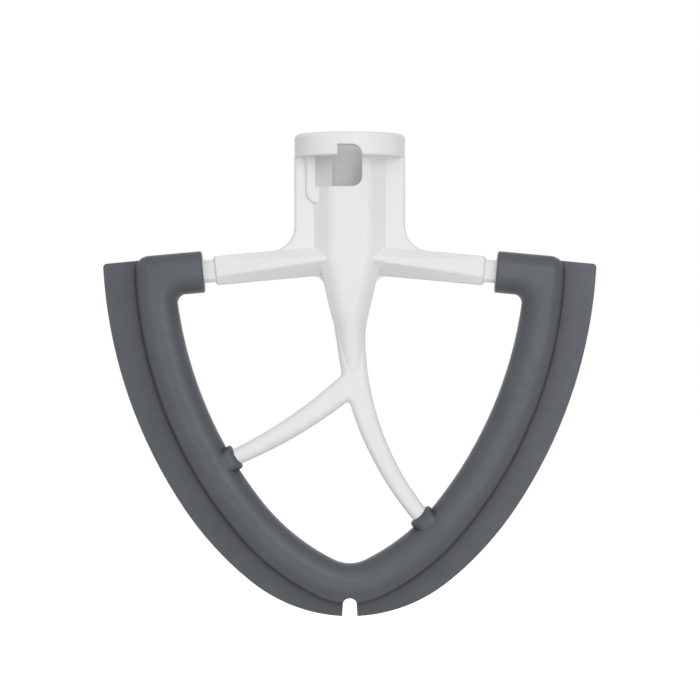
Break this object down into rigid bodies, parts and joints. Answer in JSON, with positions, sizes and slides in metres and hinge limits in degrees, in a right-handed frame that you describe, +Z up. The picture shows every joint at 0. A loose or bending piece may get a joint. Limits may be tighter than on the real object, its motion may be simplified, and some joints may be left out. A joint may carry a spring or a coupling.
{
  "type": "stand mixer flat beater",
  "caption": "Flat beater for a tilt-head stand mixer: coated hub with a keyed shaft bore, arms, curved braces and a closed rim edged with a flexible silicone lip.",
  "frame": {"origin": "on the axis of the shaft bore at the top of the hub collar", "axes": "+Z up along the bore, towards the mixer; the front with the bayonet window faces -Y; +X along the arms"},
  "size_m": [0.1746, 0.0392, 0.1705],
  "materials": {
    "coated_casting": "satin white coating on an aluminium casting",
    "silicone": "matt dark grey silicone"
  },
  "bodies": {
    "root": {"beater_casting": "coated_casting", "silicone_edge": "silicone"}
  },
  "joints": []
}
